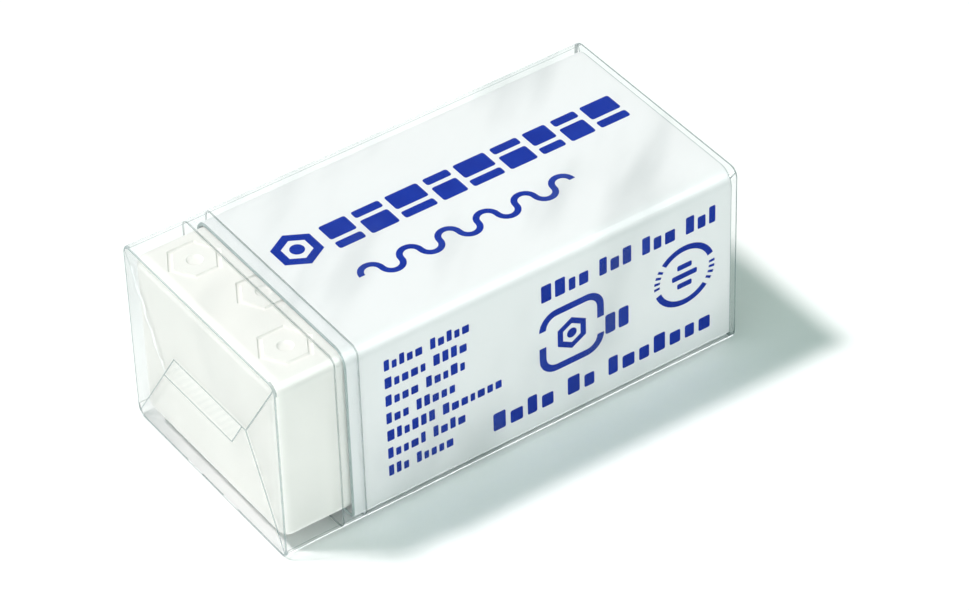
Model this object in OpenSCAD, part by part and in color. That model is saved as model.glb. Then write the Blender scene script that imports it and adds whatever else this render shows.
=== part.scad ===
// A small white eraser block in a printed paper sleeve, overwrapped in clear film with a tear tape.
// Millimetres, +Z up. The origin is the centre of the wrap's underside, and the block's bare end
// points along -X.

/* [Eraser block] */
// Length of the block, along X
block_l = 33; // [24:0.5:60]
// Width of the block, along Y
block_w = 15.4; // [12:0.1:30]
// Height of the block, along Z
block_h = 12.1; // [9:0.1:20]
// Radius of the block's edges and corners
block_r = 0.8; // [0.4:0.1:1.6]

/* [Pressed pattern] */
// Width of one hexagon across its flats
motif_af = 3.2; // [2:0.1:3.6]
// Width of the pressed lines
motif_line = 0.3; // [0.2:0.05:0.5]
// Depth of the pressed lines
motif_depth = 0.15; // [0.05:0.05:0.4]
// Radius of the dot inside each hexagon
motif_dot_r = 0.5; // [0.2:0.05:0.6]
// Distance from one hexagon to the next along the block
motif_pitch = 4.7; // [4.2:0.1:8]
// Distance from one row of hexagons to the next across the block
motif_row_pitch = 4.9; // [4.2:0.1:8]
// How far every second row is moved along the block
motif_shift = 1.7; // [0:0.1:4]
// Flat left between the hexagons and the block's rounded edges
motif_margin = 0.05; // [0:0.05:1]

/* [Paper sleeve] */
// Thickness of the paper
sleeve_t = 0.25; // [0.15:0.05:0.5]
// Clearance between the block and the sleeve, on every side
sleeve_fit = 0.05; // [0.02:0.01:0.3]
// Length of block that the sleeve leaves bare
bare_l = 4.75; // [2:0.25:12]
// Outer radius of the sleeve's two lower folds, which are creased tighter than the upper ones
foot_r = 0.5; // [0.4:0.05:1]
// Width of the flap that is glued inside the sleeve's bottom panel
flap_w = 7; // [4:0.5:10]

/* [Film wrap] */
// Thickness of one layer of film
film_t = 0.04; // [0.02:0.01:0.08]
// Space between the sleeve and the film round the girth
film_gap = 0.24; // [0.2:0.02:0.6]
// Outer radius of the film's folds along the pack
film_r = 0.7; // [0.5:0.05:1.2]
// Space between the block and the folded ends
end_gap = 0.13; // [0.05:0.01:0.6]
// Width of the lap seam that runs along the underside
seam_w = 4; // [2:0.5:6]
// Height of the lower end flap, which is folded up last
lower_flap_h = 7.7; // [5.5:0.1:8.5]
// How far the lower end flap narrows at the front
lower_flap_front = 3.7; // [2:0.1:5]
// How far the lower end flap narrows at the back
lower_flap_back = 5; // [2:0.1:5]
// How far the lower end flap laps over the upper one
flap_lap = 2.1; // [1:0.1:3]
// How far the upper end flap narrows at the front
upper_flap_front = 5; // [2:0.1:5]
// How far the upper end flap narrows at the back
upper_flap_back = 3.8; // [2:0.1:5]
// Depth of the side tucks, which are folded in first
tuck_d = 5.6; // [4.5:0.1:5.9]

/* [Tear tape] */
// Width of the tape
tape_w = 1.7; // [1:0.1:3]
// Thickness of the tape
tape_t = 0.05; // [0.03:0.01:0.08]
// Clearance between the tape and the film's seam
tape_glue = 0.02; // [0.01:0.01:0.05]
// How far the tape reaches over the sleeve, the rest lying beside it
tape_over = 0.85; // [0.3:0.05:1.5]

/* [Hidden] */
$fn = 64;
past = 1;  // how far a cutter runs past the face it cuts

sleeve_w = block_w + 2 * (sleeve_fit + sleeve_t);
sleeve_h = block_h + 2 * sleeve_fit + 3 * sleeve_t;  // the glued flap makes a third layer
sleeve_l = block_l - bare_l;
sleeve_r = block_r + sleeve_fit + sleeve_t;
sleeve_x = -block_l / 2 + bare_l;
sleeve_z = film_t + film_gap;

end_t = 3 * film_t;  // tucks, upper flap and lower flap lie one over the other
film_l = block_l + 2 * (end_gap + end_t);
film_w = sleeve_w + 2 * (film_gap + film_t);
film_h = sleeve_h + 2 * (film_gap + film_t);

motif_r = motif_af / 2 / cos(30);

block_z = sleeve_z + 2 * sleeve_t + sleeve_fit;
block_top = block_z + block_h;

tape_in = 2 * film_t + tape_glue;  // from the film's outer face to the tape's
tape_x = sleeve_x + tape_over - tape_w;

// Extrudes a section drawn across the part (drawing x is Y, drawing y is Z) from x0 along X
module along_x(x0, length) {
    translate([x0, 0, 0]) rotate([90, 0, 90]) linear_extrude(length) children();
}

// A rectangle with round corners, centred in its width and standing z0 above the drawing's base
module round_rect(w, h, r, z0 = 0) {
    translate([0, z0]) {
        translate([r - w / 2, 0]) square([w - 2 * r, h]);
        translate([-w / 2, r]) square([w, h - 2 * r]);
        for (y = [r - w / 2, w / 2 - r], z = [r, h - r]) translate([y, z]) circle(r);
    }
}

// The wall of a tube: a round rectangle with the same shape taken out, t inside it
module round_ring(w, h, r, t, z0 = 0) {
    difference() {
        round_rect(w, h, r, z0);
        round_rect(w - 2 * t, h - 2 * t, r - t, z0 + t);
    }
}

// A box with its edges rounded: what three prisms, one along each axis, have in common
module round_box(l, w, h, r) {
    translate([0, 0, -h / 2]) intersection() {
        along_x(-l / 2, l) round_rect(w, h, r);
        rotate([0, 0, 90]) along_x(-w / 2, w) round_rect(l, h, r);
        translate([0, -w / 2, 0]) linear_extrude(h) round_rect(l, w, r);
    }
}

// The lines pressed into the block for one hexagon with its dot
module pressed_hexagon() {
    line_r = motif_line / cos(30);
    difference() {
        cylinder(r = motif_r, h = motif_depth + past, $fn = 6);
        translate([0, 0, -past]) cylinder(r = motif_r - line_r, h = motif_depth + 3 * past, $fn = 6);
    }
    cylinder(r = motif_dot_r, h = motif_depth + past);
}

// Rows of hexagons along the block's top, every second row moved on
module pressed_pattern() {
    inset = block_r + motif_r + motif_margin;
    rows = floor((block_w - 2 * inset) / motif_row_pitch);
    for (row = [0 : rows]) {
        first = inset + (row % 2) * motif_shift;
        for (i = [0 : floor((block_l - inset - first) / motif_pitch)])
            translate([
                first + i * motif_pitch - block_l / 2,
                (row - rows / 2) * motif_row_pitch,
                block_top - motif_depth
            ])
                pressed_hexagon();
    }
}

// The eraser itself
module eraser_block() {
    color("ivory") difference() {
        translate([0, 0, block_z + block_h / 2]) round_box(block_l, block_w, block_h, block_r);
        pressed_pattern();
    }
}

// The sleeve's outline drawn in by inset, h high before that and standing z0 above its base
module sleeve_outline(h, z0 = 0, inset = 0) {
    w = sleeve_w - 2 * inset;
    top_z = h - 2 * inset;
    top_r = sleeve_r - inset;
    low_r = foot_r - inset;
    translate([0, z0 + inset]) {
        translate([top_r - w / 2, low_r]) square([w - 2 * top_r, top_z - low_r]);
        translate([-w / 2, low_r]) square([w, top_z - top_r - low_r]);
        translate([low_r - w / 2, 0]) square([w - 2 * low_r, top_z - top_r]);
        for (y = [top_r - w / 2, w / 2 - top_r]) translate([y, top_z - top_r]) circle(top_r);
        for (y = [low_r - w / 2, w / 2 - low_r]) translate([y, low_r]) circle(low_r);
    }
}

// The paper all round, as a closed tube
module sleeve_ring(h, z0 = 0) {
    difference() {
        sleeve_outline(h, z0);
        sleeve_outline(h, z0, sleeve_t);
    }
}

// The sleeve's section: the back wall turns in to the flap, and the bottom panel comes round from
// the front to lie under it and ends where the back corner's bend begins
module sleeve_section() {
    difference() {
        sleeve_ring(sleeve_h);
        translate([sleeve_w / 2 - foot_r, 0]) square([foot_r, sleeve_h / 2]);
    }
    intersection() {
        sleeve_ring(sleeve_h - sleeve_t, sleeve_t);
        translate([sleeve_w / 2 - flap_w, 0]) square([flap_w, sleeve_h / 2]);
    }
}

// The folded and glued paper sleeve
module paper_sleeve() {
    color("white") translate([0, 0, sleeve_z]) along_x(sleeve_x, sleeve_l) sleeve_section();
}

// One end flap's outline: full width at its fold, narrower at its free edge by front_in and back_in
module flap_outline(fold_z, free_z, front_in, back_in) {
    intersection() {
        round_rect(film_w, film_h, film_r);
        polygon([
            [-film_w / 2, fold_z],
            [film_w / 2, fold_z],
            [film_w / 2 - back_in, free_z],
            [front_in - film_w / 2, free_z]
        ]);
    }
}

// The folded end at -X, built from outside to inside: lower flap with its pleats, upper flap, tucks
module folded_end() {
    along_x(-film_l / 2, 2 * film_t)
        flap_outline(0, lower_flap_h, lower_flap_front, lower_flap_back);
    along_x(film_t - film_l / 2, film_t)
        flap_outline(film_h, lower_flap_h - flap_lap, upper_flap_front, upper_flap_back);
    along_x(2 * film_t - film_l / 2, film_t) difference() {
        round_rect(film_w, film_h, film_r);
        translate([tuck_d - film_w / 2, film_r]) square([film_w - 2 * tuck_d, film_h - 2 * film_r]);
    }
}

// The clear film: a tube round the girth with its lap seam inside, and two folded ends
module film_wrap() {
    tube_x = 2 * film_t - film_l / 2;
    color([0.86, 0.92, 0.93, 0.3]) {
        along_x(tube_x, -2 * tube_x) round_ring(film_w, film_h, film_r, film_t);
        along_x(tube_x, -2 * tube_x) translate([-seam_w / 2, film_t]) square([seam_w, film_t]);
        folded_end();
        mirror([1, 0, 0]) folded_end();
    }
}

// The strip round the girth, just inside the film, that cuts it open when pulled
module tear_tape() {
    color([0.95, 0.97, 0.98, 0.6])
        along_x(tape_x, tape_w)
            round_ring(film_w - 2 * tape_in, film_h - 2 * tape_in, film_r - tape_in, tape_t, tape_in);
}

eraser_block();
paper_sleeve();
film_wrap();
tear_tape();
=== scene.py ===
"""A small white eraser block in a printed paper sleeve, overwrapped in clear film with a tear tape.

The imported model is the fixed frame. Pieces are shaped in millimetres and turned into metres when
they are finished. The origin is the centre of the wrap's underside, and the bare end is at -X.
"""

import math
import random
from types import SimpleNamespace

import bmesh
import bpy
from bpy.props import FloatProperty, FloatVectorProperty, PointerProperty
from mathutils import Matrix, Vector, noise


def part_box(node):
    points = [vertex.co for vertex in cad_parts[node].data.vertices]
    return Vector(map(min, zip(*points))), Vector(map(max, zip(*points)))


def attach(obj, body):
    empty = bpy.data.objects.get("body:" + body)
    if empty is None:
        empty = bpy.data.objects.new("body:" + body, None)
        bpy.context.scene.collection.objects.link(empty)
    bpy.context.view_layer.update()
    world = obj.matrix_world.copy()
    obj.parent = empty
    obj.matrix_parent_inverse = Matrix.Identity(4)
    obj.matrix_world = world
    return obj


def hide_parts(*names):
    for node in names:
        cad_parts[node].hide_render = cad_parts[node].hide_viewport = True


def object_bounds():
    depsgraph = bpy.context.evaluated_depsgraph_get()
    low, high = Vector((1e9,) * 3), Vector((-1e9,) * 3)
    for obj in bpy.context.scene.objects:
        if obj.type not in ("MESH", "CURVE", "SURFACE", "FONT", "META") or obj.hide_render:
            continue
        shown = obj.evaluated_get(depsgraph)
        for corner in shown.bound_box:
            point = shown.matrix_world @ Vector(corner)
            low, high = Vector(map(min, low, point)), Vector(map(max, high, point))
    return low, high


bl_info = {
    "name": "Wrapped eraser",
    "version": (1, 0, 0),
    "blender": (4, 5, 0),
    "location": "3D View > Sidebar > Eraser",
    "description": "Block, sleeve, print, tear tape and clear film, built round the fixed frame",
    "category": "Object",
}

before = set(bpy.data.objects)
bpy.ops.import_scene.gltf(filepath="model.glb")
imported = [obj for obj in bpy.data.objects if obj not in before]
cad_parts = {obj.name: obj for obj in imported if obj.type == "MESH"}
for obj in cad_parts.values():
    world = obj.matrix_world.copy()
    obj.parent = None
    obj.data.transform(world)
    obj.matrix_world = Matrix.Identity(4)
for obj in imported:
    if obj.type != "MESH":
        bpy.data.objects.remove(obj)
CAD_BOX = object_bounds()

MM = 0.001
X_AXIS, Y_AXIS, Z_AXIS = Vector((1, 0, 0)), Vector((0, 1, 0)), Vector((0, 0, 1))
QUARTER_TURN, HALF_TURN, FULL_TURN = math.pi / 2, math.pi, 2 * math.pi
CORNER = 1 / math.cos(math.pi / 6)  # a hexagon's width across corners over that across flats
CLOSE = 1e-4  # millimetres within which two points are one
ROUND_STEPS = 8  # flats that a round edge or bend is made of


# ------------------------------ settings


def length(name, description, millimetres):
    """A length that is set in millimetres here and kept in metres."""
    return FloatProperty(
        name=name, description=description, default=millimetres * MM, min=0, precision=5,
        unit="LENGTH",
    )


def share(name, description, default):
    """A plain number from 0 to 1."""
    return FloatProperty(name=name, description=description, default=default, min=0, max=1)


def colour(name, description, default):
    """A colour, in linear values."""
    return FloatVectorProperty(
        name=name, description=description, default=default, min=0, max=1, subtype="COLOR"
    )


class BlockSettings(bpy.types.PropertyGroup):
    """The eraser block, with the hexagons pressed into its top"""

    edge_radius: length("Edge radius", "Radius of the block's edges and corners", 0.8)
    hexagon: length("Hexagon", "Width of one pressed hexagon across its flats", 3.2)
    line: length("Line", "Width of the pressed lines", 0.3)
    depth: length("Depth", "Depth of the pressed lines", 0.15)
    dot: length("Dot", "Radius of the dot inside each hexagon", 0.5)
    pitch: length("Pitch", "Distance from one hexagon to the next along the block", 4.7)
    row_pitch: length("Row pitch", "Distance from one row of hexagons to the next", 4.9)
    shift: length("Shift", "How far every second row is moved along the block", 1.7)
    margin: length("Margin", "Flat left between the hexagons and the round edges", 0.05)
    vinyl: colour("Vinyl", "Colour of the eraser", (0.91, 0.88, 0.85))


class SleeveSettings(bpy.types.PropertyGroup):
    """The folded paper sleeve"""

    thickness: length("Thickness", "Thickness of the paper", 0.25)
    glue: length("Glue", "Room for the glue between the two bottom panels", 0.01)
    bend: length("Bend", "Outer radius of the sleeve's two upper bends", 1.1)
    foot_bend: length("Foot bend", "Outer radius of the sleeve's two lower bends", 0.5)
    flap: length("Flap", "Width of the flap glued inside the bottom panel", 7)
    cut_edge: length("Cut edge", "Rounding of the paper's cut edges", 0.08)
    # Partly the paper's own cut edge, partly painted shade: this dark teal draws the sleeve's edges
    # as outlines.
    core: colour("Core", "Colour of the paper's cut edges", (0.36, 0.42, 0.42))
    paper: colour("Paper", "Colour of the coated paper", (0.885, 0.875, 0.885))


class PrintSettings(bpy.types.PropertyGroup):
    """The print on the sleeve: plain shapes in one ink"""

    ink_depth: length("Ink depth", "Thickness of the ink on the paper", 0.012)
    headline: length("Headline", "Height of the row of bold bricks", 2.45)
    wave_stroke: length("Wave stroke", "Width of the wavy stroke", 0.42)
    list_pitch: length("List pitch", "Distance from one line of the list to the next", 1.37)
    small_block: length("Small block", "Height of the list's small blocks", 0.58)
    ink: colour("Ink", "Colour of the ink", (0.001, 0.024, 0.34))


class FilmSettings(bpy.types.PropertyGroup):
    """The clear overwrap, folded and sealed at both ends"""

    bend: length("Bend", "Outer radius of the film round the long edges", 0.7)
    rim: length("Rim", "Rounding where the film turns onto an end", 0.16)
    layer: length("Layer", "Step from one folded layer to the next", 0.025)
    crease: length("Crease", "Width of a crease", 0.09)
    lower_flap: length("Lower flap", "Height of the lower end flap", 7.7)
    lower_front: length("Lower front", "How far the lower flap narrows at the front", 3.7)
    lower_back: length("Lower back", "How far the lower flap narrows at the back", 5)
    lap: length("Lap", "How far the lower flap laps over the upper one", 2.1)
    upper_front: length("Upper front", "How far the upper flap narrows at the front", 5)
    upper_back: length("Upper back", "How far the upper flap narrows at the back", 3.8)
    seal: length("Seal", "Height of the seal along the lower flap's free edge", 2.1)
    seal_front: length("Seal front", "From the end's middle to the seal's lower front corner", 2.9)
    seal_lean: length("Seal lean", "How far the seal's front end leans out at its top", 1.3)
    seam: length("Seam", "Width of the lap seam along the underside", 4)
    slack: length("Slack", "Depth of the slow waves in the film", 0.06)
    haze: share("Haze", "Share of light that the film scatters", 0.006)
    # Painted shade: the share of darker streak bands laid on the film, standing in for reflections
    # of its wrinkles.
    streaks: share("Streaks", "Share of light that the film's soft streaks scatter", 0.17)
    # The creases are real folds; their darkness is partly painted shade that draws them as lines.
    crease_shade_share: share("Crease haze", "Share of light that a crease scatters", 0.62)
    # Partly the film's real scatter and partly painted shade: this dark colour draws its creases,
    # outlines, streak bands, the lines along its bends and the tape's edges.
    scatter_and_shade_grey: colour("Scatter", "Colour of the light that a crease scatters", (0.24, 0.30, 0.305))


class TapeSettings(bpy.types.PropertyGroup):
    """The tear tape under the film"""

    bend: length("Bend", "Outer radius of the tape round the long edges", 0.6)
    thickness: length("Thickness", "Thickness of the tape", 0.05)
    # The edges are partly the tape's own denser edges and partly painted shade lines.
    edge: length("Edge", "Width of the tape's dense edges", 0.1)
    haze: share("Haze", "Share of light that the tape scatters", 0.05)


class StageSettings(bpy.types.PropertyGroup):
    """Floor, light and camera"""

    floor: length("Floor", "Side of the square floor", 3000)
    floor_drop: length("Floor drop", "Gap between the wrap and the floor", 0.02)
    floor_colour: colour("Floor colour", "Colour of the floor", (0.97, 0.97, 0.97))
    light: FloatProperty(name="Light", description="Strength of the lights", default=1, min=0)
    sky: colour("Sky", "Colour of the light from all round", (0.30, 0.41, 0.376))
    lens: FloatProperty(name="Lens", description="Focal length, in millimetres", default=166, min=1)
    azimuth: FloatProperty(
        name="Azimuth", description="Camera's turn from the front", default=math.radians(-34.1),
        subtype="ANGLE",
    )
    elevation: FloatProperty(
        name="Elevation", description="Camera's height above the floor", default=math.radians(40.1),
        subtype="ANGLE",
    )
    roll: FloatProperty(
        name="Roll", description="Camera's turn about its own axis", default=math.radians(-1.85),
        subtype="ANGLE",
    )
    distance: length("Distance", "From the camera to the point it looks at", 270.5)


class EraserSettings(bpy.types.PropertyGroup):
    """All the settings, one group for each part"""

    block: PointerProperty(type=BlockSettings)
    sleeve: PointerProperty(type=SleeveSettings)
    print: PointerProperty(type=PrintSettings)
    film: PointerProperty(type=FilmSettings)
    tape: PointerProperty(type=TapeSettings)
    stage: PointerProperty(type=StageSettings)


def in_mm(group):
    """A group's lengths, in millimetres."""
    lengths = [p.identifier for p in group.bl_rna.properties if getattr(p, "unit", "") == "LENGTH"]
    return SimpleNamespace(**{name: getattr(group, name) / MM for name in lengths})


def node_box(node):
    """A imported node's lowest and highest corners, in millimetres."""
    low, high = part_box(node)
    return low / MM, high / MM


# ------------------------------ shader maths


class Wire:
    """A socket's output, on which sums and products add nodes."""

    def __init__(self, finish, socket):
        self.finish, self.socket = finish, socket

    def maths(self, operation, *values, clamp=False):
        """A Math node on these values."""
        settings = {"operation": operation, "use_clamp": clamp}
        return self.finish.node("ShaderNodeMath", settings, dict(enumerate(values)))

    def __add__(self, other):
        return self.maths("ADD", self, other)

    def __radd__(self, other):
        return self.maths("ADD", other, self)

    def __mul__(self, other):
        return self.maths("MULTIPLY", self, other)

    def __rmul__(self, other):
        return self.maths("MULTIPLY", other, self)

    def __pow__(self, power):
        return self.maths("POWER", self, power)

    def clamped(self):
        """Kept between 0 and 1."""
        return self.maths("ADD", self, 0.0, clamp=True)

    def step(self, start, end):
        """0 below start, 1 above end, and smooth between them."""
        return self.finish.node(
            "ShaderNodeMapRange",
            {"interpolation_type": "SMOOTHSTEP"},
            {"Value": self, "From Min": start, "From Max": end},
        )


class Finish:
    """A material's nodes, or the world's."""

    def __init__(self, owner):
        owner.use_nodes = True
        self.owner, self.tree = owner, owner.node_tree
        self.tree.nodes.clear()

    def node(self, kind, settings=None, inputs=None, output=0):
        """Adds a node: its settings first, then its sockets' values or links."""
        made = self.tree.nodes.new(kind)
        for name, value in (settings or {}).items():
            setattr(made, name, value)
        for name, value in (inputs or {}).items():
            if isinstance(value, Wire):
                self.tree.links.new(value.socket, made.inputs[name])
            else:
                made.inputs[name].default_value = value
        return Wire(self, made.outputs[output])

    def place(self):
        """The place on the piece, in millimetres."""
        point = self.node("ShaderNodeTexCoord", output="Object")
        return self.node(
            "ShaderNodeVectorMath", {"operation": "SCALE"}, {0: point, "Scale": 1 / MM}
        )

    def turned(self, point, turn, stretch):
        """The place turned, then stretched, for a pattern that runs one way."""
        return self.node(
            "ShaderNodeMapping",
            {"vector_type": "TEXTURE"},
            {"Vector": point, "Rotation": turn, "Scale": stretch},
        )

    def grain(self, point, size, detail=2.0, roughness=0.5):
        """Cloudy grain from 0 to 1, with patches about that many millimetres across."""
        return self.node(
            "ShaderNodeTexNoise",
            {"noise_dimensions": "3D"},
            {"Vector": point, "Scale": 1 / size, "Detail": detail, "Roughness": roughness},
        )

    def blend(self, factor, first, second):
        """A colour between two others."""
        return self.node(
            "ShaderNodeMix",
            {"data_type": "RGBA", "clamp_factor": True},
            {0: factor, 6: first, 7: second},
            output=2,
        )

    def bump(self, height, strength, distance):
        """Normals for a height that varies, with distance in millimetres."""
        return self.node(
            "ShaderNodeBump",
            inputs={"Height": height, "Strength": strength, "Distance": distance * MM},
        )

    def solid(self, base, roughness, relief, strength, depth, gloss):
        """A material that isn't clear, with a fine relief whose depth is in millimetres."""
        inputs = {
            "Base Color": base,
            "Roughness": roughness,
            "Normal": self.bump(relief, strength, depth),
            "Specular IOR Level": gloss,
        }
        return self.done(self.node("ShaderNodeBsdfPrincipled", inputs=inputs))

    def mix(self, factor, first, second):
        """Two shaders, with factor for the second one's share."""
        return self.node("ShaderNodeMixShader", inputs={0: factor, 1: first, 2: second})

    def done(self, shader, kind="ShaderNodeOutputMaterial"):
        """Sends the shader to the output, and returns the material or the world."""
        output = self.tree.nodes.new(kind)
        self.tree.links.new(shader.socket, output.inputs["Surface"])
        return self.owner


def rgba(colour, factor=1.0):
    """A colour made lighter or darker, with full alpha."""
    return (*(min(1.0, c * factor) for c in colour), 1.0)


def vinyl(settings):
    """Matt eraser vinyl: very slightly mottled, with a fine moulded grain."""
    finish = Finish(bpy.data.materials.new("eraser vinyl"))
    point = finish.place()
    cloud = finish.grain(point, 3.0, detail=3)
    fine = finish.grain(point, 0.16, detail=2)
    tone = cloud.step(0.3, 0.7)
    base = finish.blend(tone, rgba(settings.vinyl, 0.985), rgba(settings.vinyl, 1.01))
    relief = fine + 2.0 * cloud
    return finish.solid(base, 0.38 + 0.14 * fine, relief, strength=0.25, depth=0.012, gloss=0.35)


def paper(settings):
    """Coated paper: smooth, with a little fibre under the coating."""
    finish = Finish(bpy.data.materials.new("coated paper"))
    point = finish.place()
    cloud = finish.grain(point, 5.0, detail=2)
    fibre = finish.grain(finish.turned(point, (0, 0, 0.3), (2.5, 0.7, 1.4)), 0.35, detail=4)
    tone = (0.6 * cloud + 0.4 * fibre).step(0.3, 0.7)
    base = finish.blend(tone, rgba(settings.paper, 0.985), rgba(settings.paper, 1.01))
    return finish.solid(base, 0.34 + 0.1 * fibre, fibre, strength=0.18, depth=0.01, gloss=0.3)


def paper_core_and_shade(settings):
    """The uncoated edge that a cut leaves: greyer, rough and fibrous. Its dark tone is partly the
    paper's own and partly painted shade that outlines the sleeve.
    """
    finish = Finish(bpy.data.materials.new("paper core"))
    fibre = finish.grain(finish.place(), 0.12, detail=3)
    base = finish.blend(fibre.step(0.3, 0.7), rgba(settings.core, 0.9), rgba(settings.core, 1.1))
    return finish.solid(base, 0.7 + 0.2 * fibre, fibre, strength=0.3, depth=0.01, gloss=0.2)


THIN_INK = (0.003, 0.01, 0.04)  # what the paper adds to the colour where the ink is thin


def ink(settings):
    """Printing ink: a little uneven where it lies on the paper."""
    finish = Finish(bpy.data.materials.new("blue ink"))
    point = finish.place()
    cloud = finish.grain(point, 1.2, detail=3)
    fine = finish.grain(point, 0.12, detail=2)
    base = finish.blend(
        (0.7 * cloud + 0.3 * fine).step(0.3, 0.75),
        rgba(settings.ink, 0.9),
        (*(value + more for value, more in zip(settings.ink, THIN_INK)), 1),
    )
    return finish.solid(base, 0.36 + 0.12 * fine, fine, strength=0.15, depth=0.005, gloss=0.12)


FACE_ON = 0.012  # share of light that clear film reflects face on


def clear(name, scatter, haze, gloss_roughness=0.04, shine=1.0, streaks=0.0, crimp=0.0, edge=0.55):
    """Clear film. It reflects more at a glance, and scatters a little greyish light where haze lies
    on it.
    Painted shade darkens it where it is seen edge on, drawing its outlines, and in streak bands
    that stand in for reflections. Crimp is the depth of sealing ribs."""
    finish = Finish(bpy.data.materials.new(name))
    facing = finish.node("ShaderNodeLayerWeight", inputs={"Blend": 0.5}, output="Facing")
    point = finish.place()
    # painted shade: the facing term darkens the film where it is seen edge on, drawing its outlines
    scatter_and_shade_share = haze + edge * facing**5.0
    # painted shade: stretched noise lays soft darker bands on the film, standing in for reflections
    if streaks:
        long_way = finish.turned(point, (0.3, 0, -0.9), (2.2, 9, 7))
        cloud = finish.grain(long_way, 1.5, detail=2.0, roughness=0.45)
        scatter_and_shade_share = scatter_and_shade_share + streaks * cloud.step(0.44, 0.86)
    gloss = {"Color": (1, 1, 1, 1), "Roughness": gloss_roughness}
    if crimp:
        ribs = finish.node(
            "ShaderNodeTexWave",
            {"wave_type": "BANDS", "bands_direction": "DIAGONAL"},
            {"Vector": point, "Scale": 1.1, "Distortion": 0.5, "Detail": 1.0},
            output="Fac",
        )
        gloss["Normal"] = finish.bump(ribs, 0.6, crimp)
        scatter_and_shade_share = scatter_and_shade_share + 0.06 * ribs
    mirror = finish.node("ShaderNodeBsdfGlossy", inputs=gloss)
    through = finish.node("ShaderNodeBsdfTransparent", inputs={"Color": (1, 1, 1, 1)})
    scatter_and_shade_layer = finish.node("ShaderNodeBsdfDiffuse", inputs={"Color": rgba(scatter)})
    reflected = FACE_ON * shine + (1 - FACE_ON) * shine * facing**5.0
    sheet = finish.mix(reflected, through, mirror)
    return finish.done(finish.mix(scatter_and_shade_share.clamped(), sheet, scatter_and_shade_layer))


# ------------------------------ modelling


def add_piece(context, bm, name, materials, stands_for=None, sharp=35.0):
    """Finishes a shape made in millimetres, and lets it ride with the frame."""
    for face in bm.faces:
        face.smooth = True
    for edge in bm.edges:
        if len(edge.link_faces) == 2:
            edge.smooth = edge.calc_face_angle(0) < math.radians(sharp)
    bmesh.ops.scale(bm, vec=(MM, MM, MM), verts=bm.verts)
    mesh = bpy.data.meshes.new(name)
    bm.to_mesh(mesh)
    bm.free()
    for material in materials:
        mesh.materials.append(material)
    piece = bpy.data.objects.new(name, mesh)
    context.scene.collection.objects.link(piece)
    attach(piece, "root")
    if stands_for:
        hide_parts(stands_for)
    return piece


def close_up(bm, name):
    """Merges doubles, turns the faces outwards, and stops if the shape isn't closed."""
    bmesh.ops.remove_doubles(bm, verts=bm.verts, dist=CLOSE)
    bmesh.ops.recalc_face_normals(bm, faces=bm.faces)
    ragged = [edge for edge in bm.edges if len(edge.link_faces) != 2]
    if ragged:
        raise RuntimeError(f"{name} has {len(ragged)} edges that aren't between two faces")


def long_box(low, high, radius, segments):
    """A box whose edges along X are round."""
    bm = bmesh.new()
    place = Matrix.LocRotScale((low + high) / 2, None, high - low)
    bmesh.ops.create_cube(bm, size=1, matrix=place)
    along = [e for e in bm.edges if abs((e.verts[0].co - e.verts[1].co).x) > CLOSE]
    round_off(bm, along, radius, segments)
    return bm


def round_off(bm, edges, radius, segments):
    """Rounds these edges."""
    bmesh.ops.bevel(
        bm, geom=edges, offset=radius, offset_type="OFFSET", segments=segments, profile=0.5,
        affect="EDGES", clamp_overlap=False, material=-1,
    )


def cut(bm, faces, point, normal):
    """Cuts these faces along a plane and keeps both sides."""
    parts = dict.fromkeys(part for f in faces for part in (f, *f.edges, *f.verts))
    bmesh.ops.bisect_plane(bm, geom=list(parts), dist=CLOSE, plane_co=point, plane_no=normal)


def ring_of(bm, section, centre, steps):
    """Turns an open section, given as (radius, height) points, once round an upright axis."""
    verts = [bm.verts.new(centre + Vector((r, 0, h))) for r, h in section]
    edges = [bm.edges.new(pair) for pair in zip(verts, verts[1:])]
    bmesh.ops.spin(
        bm, geom=verts + edges, cent=centre, axis=Z_AXIS, angle=FULL_TURN, steps=steps,
        use_merge=True,
    )


# ------------------------------ eraser block


def hexagon_centres(low, high, sizes):
    """Centres of the pressed hexagons: rows along the block, every second row moved on."""
    inset = sizes.edge_radius + sizes.hexagon / 2 * CORNER + sizes.margin
    rows = math.floor((high.y - low.y - 2 * inset) / sizes.row_pitch + CLOSE)
    for row in range(rows + 1):
        first = inset + (row % 2) * sizes.shift
        count = math.floor((high.x - low.x - inset - first) / sizes.pitch + CLOSE)
        for i in range(count + 1):
            y = (row - rows / 2) * sizes.row_pitch
            yield Vector((low.x + first + i * sizes.pitch, y, high.z))


def groove(inner, outer, depth, points=9):
    """The section of a pressed line, from its inner lip to its outer lip, with a soft floor."""
    middle, half = (inner + outer) / 2, (outer - inner) / 2
    shares = [2 * i / (points - 1) - 1 for i in range(points)]
    return [(middle + half * s, -depth * (1 - s**4)) for s in shares]


def loop_at(bm, centre, radius):
    """The edges of the level ring of that radius round a centre."""
    def on_it(vert):
        level = abs(vert.co.z - centre.z) < CLOSE
        return level and abs((vert.co - centre).length - radius) < CLOSE

    return [e for e in bm.edges if on_it(e.verts[0]) and on_it(e.verts[1])]


def fill_flat(bm, edges):
    """Fills the level area that these loops of edges bound, round its holes."""
    bmesh.ops.triangle_fill(bm, edges=edges, use_beauty=True, normal=Z_AXIS)


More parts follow.
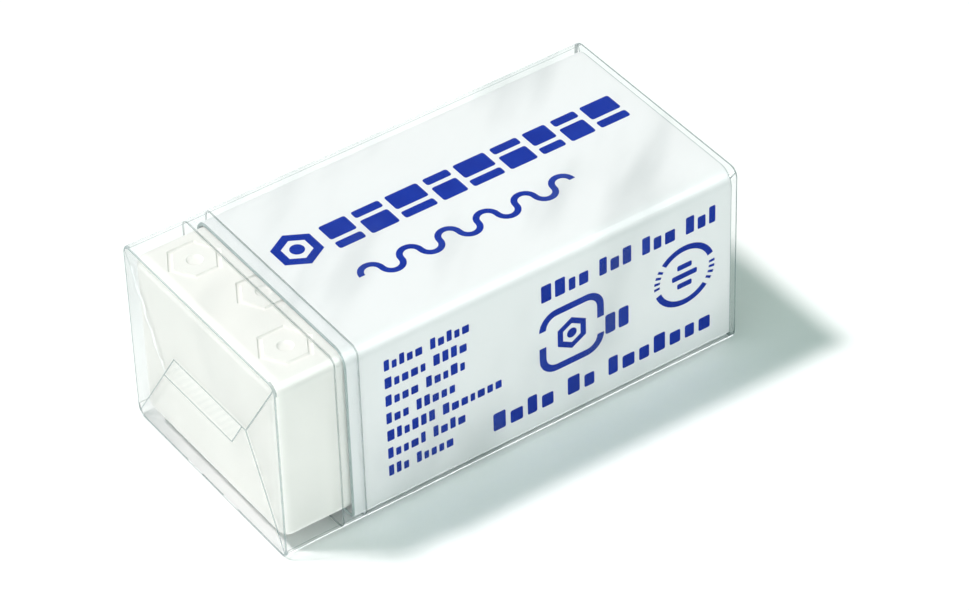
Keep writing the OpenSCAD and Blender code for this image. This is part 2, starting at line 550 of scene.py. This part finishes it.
def block_shape(sizes):
    """A box with every edge round, and its top cut out and filled again round the hexagons."""
    low, high = node_box("eraser_block")
    bm = bmesh.new()
    bmesh.ops.create_cube(bm, size=1, matrix=Matrix.LocRotScale((low + high) / 2, None, high - low))
    round_off(bm, bm.edges[:], sizes.edge_radius, ROUND_STEPS)
    top = max(bm.faces, key=lambda f: f.calc_area() * f.normal.z)
    rim = list(top.edges)
    bmesh.ops.delete(bm, geom=[top], context="FACES_ONLY")

    lip = sizes.margin * 0.6  # how far a soft edge reaches past the sharp one, within the margin
    outer = sizes.hexagon / 2 * CORNER + lip
    inner = (sizes.hexagon / 2 - sizes.line) * CORNER - lip
    dot = sizes.dot + lip
    shares = (0, 0.35, 0.6, 0.75, 0.87, 0.95, 1)
    dimple = [(dot * share, -sizes.depth * (1 - share**6)) for share in shares]
    for centre in hexagon_centres(low, high, sizes):
        ring_of(bm, groove(inner, outer, sizes.depth), centre, 6)
        ring_of(bm, dimple, centre, 24)
        bmesh.ops.remove_doubles(bm, verts=bm.verts, dist=CLOSE)
        fill_flat(bm, loop_at(bm, centre, inner) + loop_at(bm, centre, dot))
        rim += loop_at(bm, centre, outer)
    fill_flat(bm, rim)
    close_up(bm, "eraser_block")
    return bm


# ------------------------------ paper sleeve


def extrude_row(bm, row, offset, pieces=4):
    """Extrudes a row of edges in several pieces, and returns the last row."""
    for _ in range(pieces):
        grown = bmesh.ops.extrude_edge_only(bm, edges=row)["geom"]
        verts = [v for v in grown if isinstance(v, bmesh.types.BMVert)]
        row = [e for e in grown if isinstance(e, bmesh.types.BMEdge) and set(e.verts) <= set(verts)]
        bmesh.ops.translate(bm, vec=offset / pieces, verts=verts)
    return row


def bend_row(bm, row, y, z):
    """Turns a row of edges a quarter back about the line along X at y and z, and returns the last
    row."""
    verts = dict.fromkeys(v for e in row for v in e.verts)
    turned = bmesh.ops.spin(
        bm, geom=list(verts) + row, cent=Vector((0, y, z)), axis=X_AXIS, angle=-QUARTER_TURN,
        steps=ROUND_STEPS,
    )
    return [e for e in turned["geom_last"] if isinstance(e, bmesh.types.BMEdge)]


def sleeve_shape(sizes):
    """One sheet folded round the block. It starts at the free edge of the bottom panel, goes up
    the front, over the top and down the back, and ends in the flap above the bottom panel."""
    low, high = node_box("paper_sleeve")
    bend, foot = sizes.bend, sizes.foot_bend
    width, rise = high.y - low.y, high.z - low.z - bend - foot
    bm = bmesh.new()
    start = [bm.verts.new((x, high.y - foot, low.z)) for x in (low.x, high.x)]
    first = bm.edges.new(start)
    bmesh.ops.subdivide_edges(bm, edges=[first], cuts=11)
    row = bm.edges[:]
    row = extrude_row(bm, row, -Y_AXIS * (width - 2 * foot))
    row = bend_row(bm, row, low.y + foot, low.z + foot)
    row = extrude_row(bm, row, Z_AXIS * rise)
    row = bend_row(bm, row, low.y + bend, high.z - bend)
    row = extrude_row(bm, row, Y_AXIS * (width - 2 * bend))
    row = bend_row(bm, row, high.y - bend, high.z - bend)
    row = extrude_row(bm, row, -Z_AXIS * (rise - sizes.thickness))
    row = bend_row(bm, row, high.y - foot, low.z + sizes.thickness + foot)
    extrude_row(bm, row, -Y_AXIS * (sizes.flap - foot), pieces=2)
    bmesh.ops.remove_doubles(bm, verts=bm.verts, dist=CLOSE)
    bm.faces.ensure_lookup_table()
    highest = max(bm.faces, key=lambda f: f.calc_center_median().z)
    bm.normal_update()
    if highest.normal.z < 0:
        bmesh.ops.reverse_faces(bm, faces=bm.faces)
    return bm


# ------------------------------ print


def bar(bm, left, bottom, right, top, depth, corner=0.0):
    """A flat bar of ink, with square or round corners."""
    made = bmesh.ops.create_cube(
        bm, size=1,
        matrix=Matrix.LocRotScale(
            ((left + right) / 2, (bottom + top) / 2, depth / 2),
            None,
            Vector((right - left, top - bottom, depth)),
        ),
    )
    if corner:
        edges = dict.fromkeys(e for v in made["verts"] for e in v.link_edges)
        upright = [e for e in edges if abs((e.verts[0].co - e.verts[1].co).z) > CLOSE]
        round_off(bm, upright, corner, 3)


def arc(bm, centre, radius, stroke, depth, start, sweep, steps):
    """Part of a ring of ink, closed at both ends, or a whole ring. It returns its last section."""
    turn = Matrix.Rotation(start, 3, "Z")
    inside, outside = radius - stroke / 2, radius + stroke / 2
    spots = [(inside, 0), (outside, 0), (outside, depth), (inside, depth)]
    verts = [bm.verts.new(centre + turn @ Vector((r, 0, h))) for r, h in spots]
    edges = [bm.edges.new((verts[i], verts[(i + 1) % 4])) for i in range(4)]
    whole = abs(abs(sweep) - FULL_TURN) < CLOSE
    section = verts + edges if whole else verts + edges + [bm.faces.new(verts)]
    return bmesh.ops.spin(
        bm, geom=section, cent=centre, axis=Z_AXIS, angle=sweep, steps=steps, use_merge=whole
    )["geom_last"]


def dot(bm, centre, radius, depth):
    """A round dot of ink."""
    bmesh.ops.create_cone(
        bm, cap_ends=True, cap_tris=False, segments=28, radius1=radius, radius2=radius,
        depth=depth, matrix=Matrix.Translation(centre + Z_AXIS * depth / 2),
    )


def hexagon(bm, centre, across, stroke, depth):
    """A hexagonal ring with a dot, like a pencil's end, standing on a corner."""
    radius, first_corner = (across - stroke) / 2 * CORNER, math.pi / 6
    arc(bm, centre, radius, stroke * CORNER, depth, first_corner, FULL_TURN, 6)
    dot(bm, centre, across * 0.17, depth)


# Shares of a block's pitch, or of its height, in a line of small blocks
NARROW, WIDE, BLOCK_GAP, WORD_GAP, BLOCK_CORNER = 0.5, 0.82, 0.3, 0.6, 0.1
TALL, TALL_CHANCE = 1.4, 0.25


def words(bm, chance, left, base, counts, pitch, height, depth):
    """A line of small blocks set in words: each is as wide as it happens, and some are taller."""
    x = left
    for count in counts:
        for i in range(count):
            width = pitch * chance.uniform(NARROW, WIDE)
            rise = height * (TALL if i == 0 or chance.random() < TALL_CHANCE else 1.0)
            bar(bm, x, base, x + width, base + rise, depth, corner=pitch * BLOCK_CORNER)
            x += width + pitch * BLOCK_GAP
        x += pitch * WORD_GAP


# The drawings are in millimetres: x along the part, y back from the top's middle or up from the
# wrap's underside.


def hexagon_shape(sizes, bm):
    """The hexagon that stands before the headline."""
    centre, across, stroke = Vector((-8.6, 1.7, 0)), 2.8, 0.55
    hexagon(bm, centre, across, stroke, sizes.ink_depth)


def headline_shape(sizes, bm):
    """Nine bold bricks in a row, each one split level by a thin gap at a changing height."""
    widths = (1.9, 2.0, 2.35, 1.8, 2.3, 2.0, 1.7, 1.8, 2.2)
    x, base, length, split, corner = -6.5, 0.22, 21.5, 0.34, 0.16
    low_split, high_split = 0.34, 0.66  # shares of the row's height
    gap = (length - sum(widths)) / (len(widths) - 1)
    top, depth = base + sizes.headline, sizes.ink_depth
    for i, width in enumerate(widths):
        level = base + sizes.headline * (high_split if i % 2 else low_split)
        bar(bm, x, base, x + width, level - split / 2, depth, corner)
        bar(bm, x, level + split / 2, x + width, top, depth, corner)
        x += width + gap


def wave_shape(sizes, bm):
    """A wavy pencil stroke of half rings, drawn in one go."""
    left, middle, length, count, steps = -6.9, -2.7, 15.3, 11, 12
    radius = length / count / 2
    row = None
    for i in range(count):
        centre = Vector((left + (2 * i + 1) * radius, middle, 0))
        sweep = HALF_TURN if i % 2 else -HALF_TURN
        if row is None:
            row = arc(
                bm, centre, radius, sizes.wave_stroke, sizes.ink_depth, HALF_TURN, sweep, steps
            )
        else:
            row = bmesh.ops.spin(
                bm, geom=row, cent=centre, axis=Z_AXIS, angle=sweep, steps=steps
            )["geom_last"]


def list_shape(sizes, bm):
    """Seven short lines of small blocks, set flush left."""
    left, first_base, pitch = -9.1, 10.6, 0.64
    lines = ((5, 5), (5, 4), (4, 5), (3, 5), (6, 7), (5, 4), (3, 5))
    chance = random.Random(4)
    for i, counts in enumerate(lines):
        base = first_base - i * sizes.list_pitch
        words(bm, chance, left, base, counts, pitch, sizes.small_block, sizes.ink_depth)


def square_mark(bm, depth):
    """A rounded square that is open in two places, with a hexagon in it."""
    centre, half, corner, stroke = Vector((4.4, 6.7, 0)), 2.15, 1.05, 0.5
    flat = half - corner
    opening = flat * 0.15  # where each upright side stops, above or below the middle
    for side in (1, -1):
        for quarter in (0, 1):
            turn = QUARTER_TURN * quarter + (0 if side == 1 else HALF_TURN)
            middle = centre + Matrix.Rotation(turn, 3, "Z") @ Vector((flat, flat, 0))
            arc(bm, middle, corner, stroke, depth, turn, QUARTER_TURN, ROUND_STEPS)
        y = centre.y + side * half
        bar(bm, centre.x - flat, y - stroke / 2, centre.x + flat, y + stroke / 2, depth)
        x = centre.x + side * half
        lower, upper = sorted((centre.y + side * flat, centre.y + side * opening))
        bar(bm, x - stroke / 2, lower, x + stroke / 2, upper, depth)
    hexagon(bm, centre, 2.1, 0.4, depth)


def ring_mark(bm, depth):
    """A ring of two solid parts and two of four ticks each, with three level bars in it."""
    centre, radius, stroke = Vector((12.9, 6.95, 0)), 2.1, 0.42
    solid, first_tick, tick_pitch, tick = (math.radians(angle) for angle in (118, 128, 11, 5))
    for start in (math.radians(20), math.radians(200)):
        arc(bm, centre, radius, stroke, depth, start, solid, 16)
        for i in range(4):
            arc(bm, centre, radius, stroke, depth, start + first_tick + tick_pitch * i, tick, 2)
    half = 0.2
    for level, reach in ((0.72, 0.55), (0, 0.95), (-0.72, 0.55)):
        y = centre.y + level
        bar(bm, centre.x - reach, y - half, centre.x + reach, y + half, depth, corner=0.1)


def marks_shape(sizes, bm):
    """The square mark, the ring mark and the two tall blocks between them."""
    square_mark(bm, sizes.ink_depth)
    ring_mark(bm, sizes.ink_depth)
    for x in (6.9, 7.9):
        bar(bm, x, 5.25, x + 0.75, 6.75, sizes.ink_depth, corner=0.15)


def lines_shape(sizes, bm):
    """A line of blocks near the top of the front, and a wider one near its bottom."""
    words(bm, random.Random(2), 2.2, 10.05, (4, 3, 3, 3), 0.92, 0.92, sizes.ink_depth)
    words(bm, random.Random(6), -1.5, 1.85, (4, 2, 7), 1.2, 0.98, sizes.ink_depth)


PRINTS = {
    # name: the panel it is on, and what draws it
    "print_hexagon": ("top", hexagon_shape),
    "print_headline": ("top", headline_shape),
    "print_wave": ("top", wave_shape),
    "print_list": ("front", list_shape),
    "print_marks": ("front", marks_shape),
    "print_lines": ("front", lines_shape),
}


def lay_on_sleeve(bm, side):
    """Lays a flat drawing on the sleeve: its width runs along X on either side."""
    low, high = node_box("paper_sleeve")
    if side == "top":
        place = Matrix.Translation((0, 0, high.z))
    else:
        place = Matrix.Translation((0, low.y, 0)) @ Matrix.Rotation(QUARTER_TURN, 4, "X")
    bmesh.ops.transform(bm, matrix=place, verts=bm.verts)


# ------------------------------ tear tape


def tape_shape(sizes):
    """A band round the girth, with denser strips along both its edges, darkened partly as painted
    shade that draws them as lines.
    """
    low, high = node_box("tear_tape")
    bm = long_box(low, high, sizes.bend, 8)
    ends = [f for f in bm.faces if abs(f.normal.x) > 0.5]
    bmesh.ops.delete(bm, geom=ends, context="FACES_ONLY")
    for x in (low.x + sizes.edge, high.x - sizes.edge):
        cut(bm, bm.faces[:], Vector((x, 0, 0)), X_AXIS)
    for face in bm.faces:
        x = face.calc_center_median().x
        face.material_index = int(not low.x + sizes.edge < x < high.x - sizes.edge)
    return bm


# ------------------------------ film


CLEAR, CREASE_AND_SHADE, SEALED, FOLDED, SHADE_LINE = range(5)  # the film's materials, in their order
FACE_SIZE = 0.8  # greatest size of the film's faces, so that slow waves can move them
SHADE_LINE_SHARE = 0.7  # width of a painted shade line along a bend, as a share of a crease's
WAVE_SCALE = Vector((0.13, 0.09, 0.11))  # how fast the slow waves change along each axis
WAVE_START = Vector((3, 7, 1))


class EndFolds:
    """Where the folded layers of one end lie, measured across the end from its middle."""

    def __init__(self, sizes, low, high):
        self.sizes = sizes
        half, top = high.y, high.z
        self.free_edge = sizes.lower_flap
        self.seal_foot = self.free_edge - sizes.seal
        self.hidden_edge = self.free_edge - sizes.lap
        self.lower = {
            side: self.line((half - inset, self.free_edge), (half, low.z))
            for side, inset in ((-1, sizes.lower_front), (1, sizes.lower_back))
        }
        self.upper = {
            side: self.line((half, top), (half - inset, self.hidden_edge))
            for side, inset in ((-1, sizes.upper_front), (1, sizes.upper_back))
        }
        foot = sizes.seal_front, self.seal_foot
        self.seal_end = self.line((sizes.seal_front + sizes.seal_lean, self.free_edge), foot)

    @staticmethod
    def line(start, end):
        """A slanting edge as (point, unit normal that points away from the flap)."""
        run = Vector(end) - Vector(start)
        return Vector(start), Vector((-run.y, run.x)).normalized()

    @staticmethod
    def beyond(lines, y, z):
        """How far a place lies past the slanting edge on its side."""
        point, normal = lines[1 if y > 0 else -1]
        return (Vector((abs(y), z)) - point).dot(normal)

    def outside_lower(self, y, z):
        """How far a place lies outside the lower flap, less than 0 inside it."""
        return max(self.beyond(self.lower, y, z), z - self.free_edge)

    def outside_upper(self, y, z):
        """How far a place lies outside the upper flap, less than 0 inside it."""
        return max(self.beyond(self.upper, y, z), self.hidden_edge - z)

    def outside_seal(self, y, z):
        """How far a place lies outside the sealed strip, less than 0 on it."""
        point, normal = self.seal_end
        past_end = (Vector((-y, z)) - point).dot(normal)
        return max(past_end, self.seal_foot - z, self.outside_lower(y, z))

    def risen(self, outside):
        """0 before a crease, 1 past it and even across it."""
        return min(1.0, max(0.0, outside / self.sizes.crease + 0.5))

    def depth(self, y, z):
        """How deep the outermost layer lies at a place. The seal is pressed in by half a layer."""
        off_lower = self.risen(self.outside_lower(y, z))
        off_upper = self.risen(self.outside_upper(y, z))
        on_seal = self.risen(-self.outside_seal(y, z))
        return self.sizes.layer * (off_lower * (1 + off_upper) + 0.5 * on_seal)

    def kind(self, y, z):
        """Which of the film's materials a place on the end has."""
        half = self.sizes.crease / 2
        lower, upper = self.outside_lower(y, z), self.outside_upper(y, z)
        seal = self.outside_seal(y, z)
        if abs(lower) < half or (lower > 0 and abs(upper) < half) or abs(seal) < half:
            return CREASE_AND_SHADE
        return SEALED if seal < 0 else FOLDED

    def planes(self):
        """Both sides of every crease, as (place, normal) in the part's frame."""
        half = self.sizes.crease / 2
        level = [(Vector((0, 0, z)), Z_AXIS) for z in (self.free_edge, self.seal_foot)]
        slanting = [
            (Vector((0, side * point.x, point.y)), Vector((0, side * normal.x, normal.y)))
            for lines in (self.lower, self.upper, {-1: self.seal_end})
            for side, (point, normal) in lines.items()
        ]
        for point, normal in level + slanting:
            for offset in (-half, half):
                yield point + normal * offset, normal


class Girth:
    """Where the film's long walls start to bend, measured from its middle."""

    def __init__(self, sizes, low, high):
        # self.soft is the width of the painted shade line along a bend
        self.soft = sizes.crease * SHADE_LINE_SHARE
        self.middle_z = (low.z + high.z) / 2
        self.y, self.z = high.y - sizes.bend, high.z - sizes.bend - self.middle_z

    def planes(self):
        """Both sides of every painted shade line along a bend, as (place, normal)."""
        for side in (-1, 1):
            for inset in (0, self.soft):
                yield Vector((0, side * (self.y - inset), 0)), Y_AXIS
                yield Vector((0, 0, self.middle_z + side * (self.z - inset))), Z_AXIS

    def on_shade_line(self, place):
        """Whether a place is on the painted shade line at the top of the back or the foot of a
        side.
        """
        if place.z > self.middle_z:
            return 0 < self.y - place.y < self.soft
        return 0 < self.z + place.z - self.middle_z < self.soft


def steps_between(start, end, step):
    """Even places between two ends, about a step apart."""
    count = max(1, round((end - start) / step))
    return [start + (end - start) * i / count for i in range(1, count)]


def film_shape(sizes):
    """The film's outer surface: a closed wrap with stepped folds on both ends and a lap seam along
    its underside, drawn in a little in slow waves."""
    low, high = node_box("film_wrap")
    bm = long_box(low, high, sizes.bend, 10)
    rims = [e for e in bm.edges if abs(sum(v.co.x for v in e.verts)) > 2 * high.x - CLOSE]
    round_off(bm, rims, sizes.rim, 3)

    def on_end(face):
        return all(abs(v.co.x) > high.x - CLOSE for v in face.verts)

    folds, girth = EndFolds(sizes, low, high), Girth(sizes, low, high)
    for point, normal in folds.planes():
        cut(bm, [f for f in bm.faces if on_end(f)], point, normal)
    for y in (-sizes.seam / 2, sizes.seam / 2):
        for offset in (-sizes.crease / 2, sizes.crease / 2):
            under = [f for f in bm.faces if all(v.co.z < low.z + CLOSE for v in f.verts)]
            cut(bm, under, Vector((0, y + offset, 0)), Y_AXIS)
    for point, normal in girth.planes():
        cut(bm, bm.faces[:], point, normal)
    for axis, index in ((X_AXIS, 0), (Y_AXIS, 1), (Z_AXIS, 2)):
        for place in steps_between(low[index], high[index], FACE_SIZE):
            cut(bm, bm.faces[:], axis * place, axis)

    rim_start = high.x - sizes.rim * 0.75
    for face in bm.faces:
        middle = face.calc_center_median()
        if on_end(face):
            face.material_index = folds.kind(middle.y, middle.z)
        # Painted shade: a darker strip along each rim draws the film's outline where it turns onto
        # an end.
        elif abs(middle.x) > rim_start:
            face.material_index = CREASE_AND_SHADE
        else:
            # painted shade: lines where the back's top and the sides' feet start to bend stand in
            # for the outline of the sleeve inside
            face.material_index = SHADE_LINE if girth.on_shade_line(middle) else CLEAR

    draw_in(bm, sizes, low, high, folds)
    close_up(bm, "film_wrap")
    return bm


def draw_in(bm, sizes, low, high, folds):
    """Moves the film inwards: in slow waves, by the layers of its ends, and at its lap seam."""
    end_fade, side_fade, edge_fade = 2.5, 0.5, 1.5  # how far from an edge each one is whole

    def faded(distance, reach):
        return min(1.0, max(0.0, distance / reach))

    bm.normal_update()
    moves = {}
    for vert in bm.verts:
        x, y, z = vert.co
        wave = 0.5 + 0.5 * noise.noise(vert.co * WAVE_SCALE + WAVE_START)
        if abs(x) > high.x - CLOSE:
            inward = folds.depth(y, z) * faded(high.y - abs(y), side_fade)
            to_edge = min(high.y - abs(y), z - low.z, high.z - z)
            inward += 0.5 * sizes.slack * wave * faded(to_edge, edge_fade)
        else:
            fade = faded(high.x - abs(x), end_fade)
            if z < low.z + CLOSE:
                inward = sizes.layer * folds.risen(sizes.seam / 2 - abs(y)) * fade
            else:
                inward = sizes.slack * wave * fade
        moves[vert] = -vert.normal * inward
    for vert, move in moves.items():
        vert.co += move


# ------------------------------ stage


SUNS = (
    # name, towards the light, strength, spread in degrees, tint
    ("key light", (-0.37, 0.312, 0.875), 2.55, 8, (1, 0.94, 0.95)),
    ("front light", (0.35, -0.92, 0.15), 0.65, 40, (0.97, 1, 0.99)),
    ("end light", (-0.9, -0.43, 0.12), 1.25, 40, (0.95, 1, 0.985)),
)
SOFT_BOXES = (
    # towards the box, cosines where it starts and is whole, strength
    ((-0.65, 0.64, 0.41), 0.75, 0.92, 5.0),
    ((0.41, -0.65, 0.64), 0.80, 0.94, 8.0),
    ((-0.64, -0.41, -0.65), 0.86, 0.96, 8.0),
    ((0.43, 0.30, -0.855), 0.90, 0.97, 4.0),
    ((0.03, 0.635, -0.773), 0.95, 0.985, 2.5),
    ((0.43, 0.86, -0.29), 0.95, 0.985, 1.0),
)


def direction(x, y, z):
    """A unit vector."""
    return Vector((x, y, z)).normalized()


def sun(context, name, towards, power, spread, tint):
    """A distant soft light that shines from a direction."""
    light = bpy.data.lights.new(name, "SUN")
    light.energy, light.angle, light.color = power, math.radians(spread), tint
    lamp = bpy.data.objects.new(name, light)
    lamp.rotation_mode = "QUATERNION"
    lamp.rotation_quaternion = towards.to_track_quat("Z", "Y")
    context.scene.collection.objects.link(lamp)


def studio(settings):
    """A white room to the camera, soft cool light on the surfaces, and broad soft boxes in what
    is glossy."""
    finish = Finish(bpy.data.worlds.new("studio"))
    path, background = "ShaderNodeLightPath", "ShaderNodeBackground"
    seen = finish.node(path, output="Is Camera Ray")
    glossy = finish.node(path, output="Is Glossy Ray")
    towards = finish.node("ShaderNodeTexCoord", output="Generated")
    height = finish.node("ShaderNodeSeparateXYZ", inputs={"Vector": towards}, output="Z")
    glow = 0.15 + 0.2 * height.step(-0.1, 0.15)
    for aim, start, end, power in SOFT_BOXES:
        cosine = finish.node(
            "ShaderNodeVectorMath", {"operation": "DOT_PRODUCT"},
            {0: towards, 1: direction(*aim)}, output="Value",
        )
        glow = glow + power * cosine.step(start, end)
    plain = finish.node(background, inputs={"Color": (1, 1, 1, 1), "Strength": 1.0})
    soft = finish.node(background, inputs={"Color": rgba(settings.sky), "Strength": 1.0})
    shine = finish.node(background, inputs={"Color": (0.95, 0.99, 1, 1), "Strength": glow})
    lit = finish.mix(glossy, soft, shine)
    return finish.done(finish.mix(seen, lit, plain), "ShaderNodeOutputWorld")


def floor_finish(settings):
    """A matt floor that is open to a view from below."""
    finish = Finish(bpy.data.materials.new("floor"))
    cloud = finish.grain(finish.place(), 60.0, detail=1)
    tone = finish.blend(cloud, rgba(settings.floor_colour, 0.995), rgba(settings.floor_colour, 1.0))
    matt = finish.node("ShaderNodeBsdfDiffuse", inputs={"Color": tone})
    open_side = finish.node("ShaderNodeBsdfTransparent", inputs={"Color": (1, 1, 1, 1)})
    below = finish.node("ShaderNodeNewGeometry", output="Backfacing")
    return finish.done(finish.mix(below, matt, open_side))


AIM = Vector((1.485, -3.04, 0.245))  # millimetres from the part's middle to where the camera looks


def aim_camera(camera, settings):
    """Puts the camera round the part at its azimuth, elevation and roll."""
    azimuth, elevation = settings.azimuth, settings.elevation
    back = Vector(
        (
            math.sin(azimuth) * math.cos(elevation),
            -math.cos(azimuth) * math.cos(elevation),
            math.sin(elevation),
        )
    )
    right = Z_AXIS.cross(back).normalized()
    up = back.cross(right)
    turn = Matrix.Rotation(settings.roll, 3, back)
    middle = (CAD_BOX[0] + CAD_BOX[1]) / 2
    target = middle + AIM * MM
    axes = Matrix((turn @ right, turn @ up, back)).transposed()
    camera.matrix_world = Matrix.Translation(target + back * settings.distance) @ axes.to_4x4()


# ------------------------------ operators


class ERASER_OT_block(bpy.types.Operator):
    """Add the eraser block with its pressed pattern"""

    bl_idname = "eraser.block"
    bl_label = "Eraser block"

    def execute(self, context):
        settings = context.scene.eraser_settings.block
        piece = add_piece(
            context, block_shape(in_mm(settings)), "block", [vinyl(settings)],
            "eraser_block",
        )
        level = piece.modifiers.new("Flat beside round edges", "WEIGHTED_NORMAL")
        level.keep_sharp = True
        level.weight = 100
        return {"FINISHED"}


class ERASER_OT_sleeve(bpy.types.Operator):
    """Add the folded paper sleeve"""

    bl_idname = "eraser.sleeve"
    bl_label = "Paper sleeve"

    def execute(self, context):
        settings = context.scene.eraser_settings.sleeve
        sizes = in_mm(settings)
        finishes = [paper(settings), paper_core_and_shade(settings)]
        piece = add_piece(
            context, sleeve_shape(sizes), "sleeve", finishes, "paper_sleeve"
        )
        wall = piece.modifiers.new("Paper thickness", "SOLIDIFY")
        wall.thickness = (sizes.thickness - sizes.glue) * MM
        wall.offset = -1
        wall.use_even_offset = True
        wall.material_offset_rim = 1
        soft = piece.modifiers.new("Cut edges", "BEVEL")
        soft.width = sizes.cut_edge * MM
        soft.segments = 2
        soft.limit_method = "ANGLE"
        soft.angle_limit = math.radians(50)
        soft.harden_normals = True
        # the bevelled cut edges take the darker cut-edge material, partly painted shade
        soft.material = 1
        return {"FINISHED"}


class ERASER_OT_print(bpy.types.Operator):
    """Add the print on the sleeve's top and front"""

    bl_idname = "eraser.print"
    bl_label = "Print"

    def execute(self, context):
        settings = context.scene.eraser_settings.print
        sizes, blue = in_mm(settings), ink(settings)
        for name, (side, draw) in PRINTS.items():
            bm = bmesh.new()
            draw(sizes, bm)
            lay_on_sleeve(bm, side)
            bmesh.ops.recalc_face_normals(bm, faces=bm.faces)
            add_piece(context, bm, name, [blue])
        return {"FINISHED"}


class ERASER_OT_tape(bpy.types.Operator):
    """Add the tear tape that lies under the film"""

    bl_idname = "eraser.tape"
    bl_label = "Tear tape"

    def execute(self, context):
        scene = context.scene.eraser_settings
        settings, scatter_and_shade_grey = scene.tape, scene.film.scatter_and_shade_grey
        sizes = in_mm(settings)
        finishes = [
            clear("tear tape", (0.8, 0.86, 0.88), settings.haze, 0.1, shine=0.2, edge=0.1),
            # painted shade, in part: the edges take the dark scatter colour to show as lines
            clear("tape edge", scatter_and_shade_grey, 0.3, 0.2, shine=0.2),
        ]
        piece = add_piece(context, tape_shape(sizes), "tape", finishes, "tear_tape")
        wall = piece.modifiers.new("Tape thickness", "SOLIDIFY")
        wall.thickness = sizes.thickness * MM
        wall.offset = -1
        wall.use_even_offset = True
        return {"FINISHED"}


class ERASER_OT_film(bpy.types.Operator):
    """Add the clear film with its folded and sealed ends"""

    bl_idname = "eraser.film"
    bl_label = "Clear film"

    def execute(self, context):
        settings = context.scene.eraser_settings.film
        scatter_and_shade_grey = settings.scatter_and_shade_grey
        finishes = [
            clear("clear film", scatter_and_shade_grey, settings.haze, streaks=settings.streaks),
            clear("film crease and shade", scatter_and_shade_grey, settings.crease_shade_share, 0.3),
            clear("film seal", (0.7, 0.75, 0.75), settings.haze * 2, 0.15, crimp=0.02),
            clear("folded film", scatter_and_shade_grey, settings.haze * 2, 0.06, streaks=settings.streaks * 0.5),
            clear("bend shade line", scatter_and_shade_grey, settings.crease_shade_share * 0.7, 0.1),
        ]
        add_piece(
            context, film_shape(in_mm(settings)), "film", finishes, "film_wrap",
            sharp=60,
        )
        return {"FINISHED"}


class ERASER_OT_stage(bpy.types.Operator):
    """Add the floor, the lights and the camera"""

    bl_idname = "eraser.stage"
    bl_label = "Stage"

    def execute(self, context):
        settings = context.scene.eraser_settings.stage
        sizes = in_mm(settings)
        bm = bmesh.new()
        bmesh.ops.create_grid(
            bm, x_segments=1, y_segments=1, size=settings.floor / 2,
            matrix=Matrix.Translation((0, 0, -sizes.floor_drop * MM)),
        )
        mesh = bpy.data.meshes.new("floor")
        bm.to_mesh(mesh)
        bm.free()
        mesh.materials.append(floor_finish(settings))
        floor = bpy.data.objects.new("floor", mesh)
        context.scene.collection.objects.link(floor)
        floor.visible_glossy = False

        for name, towards, power, spread, tint in SUNS:
            sun(context, name, direction(*towards), power * settings.light, spread, tint)
        context.scene.world = studio(settings)
        context.scene.view_settings.view_transform = "Standard"
        context.scene.cycles.transparent_max_bounces = 24  # film, tape and their insides

        camera_data = bpy.data.cameras.new("camera")
        camera_data.lens = settings.lens
        camera_data.clip_start, camera_data.clip_end = 0.01, 10
        camera = bpy.data.objects.new("camera", camera_data)
        context.scene.collection.objects.link(camera)
        aim_camera(camera, settings)
        context.scene.camera = camera
        return {"FINISHED"}


BUILD_STEPS = (
    ERASER_OT_block,
    ERASER_OT_sleeve,
    ERASER_OT_print,
    ERASER_OT_tape,
    ERASER_OT_film,
    ERASER_OT_stage,
)


class ERASER_PT_panel(bpy.types.Panel):
    """Every piece of the wrapped eraser, in the order it is built"""

    bl_label = "Wrapped eraser"
    bl_space_type = "VIEW_3D"
    bl_region_type = "UI"
    bl_category = "Eraser"

    def draw(self, context):
        for step in BUILD_STEPS:
            self.layout.operator(step.bl_idname)


CLASSES = (
    BlockSettings,
    SleeveSettings,
    PrintSettings,
    FilmSettings,
    TapeSettings,
    StageSettings,
    EraserSettings,
    *BUILD_STEPS,
    ERASER_PT_panel,
)


def register():
    for each in CLASSES:
        bpy.utils.register_class(each)
    bpy.types.Scene.eraser_settings = PointerProperty(type=EraserSettings)


def unregister():
    del bpy.types.Scene.eraser_settings
    for each in reversed(CLASSES):
        bpy.utils.unregister_class(each)


def main():
    register()
    for step in BUILD_STEPS:
        group, name = step.bl_idname.split(".")
        getattr(getattr(bpy.ops, group), name)()


if __name__ == "__main__":
    main()
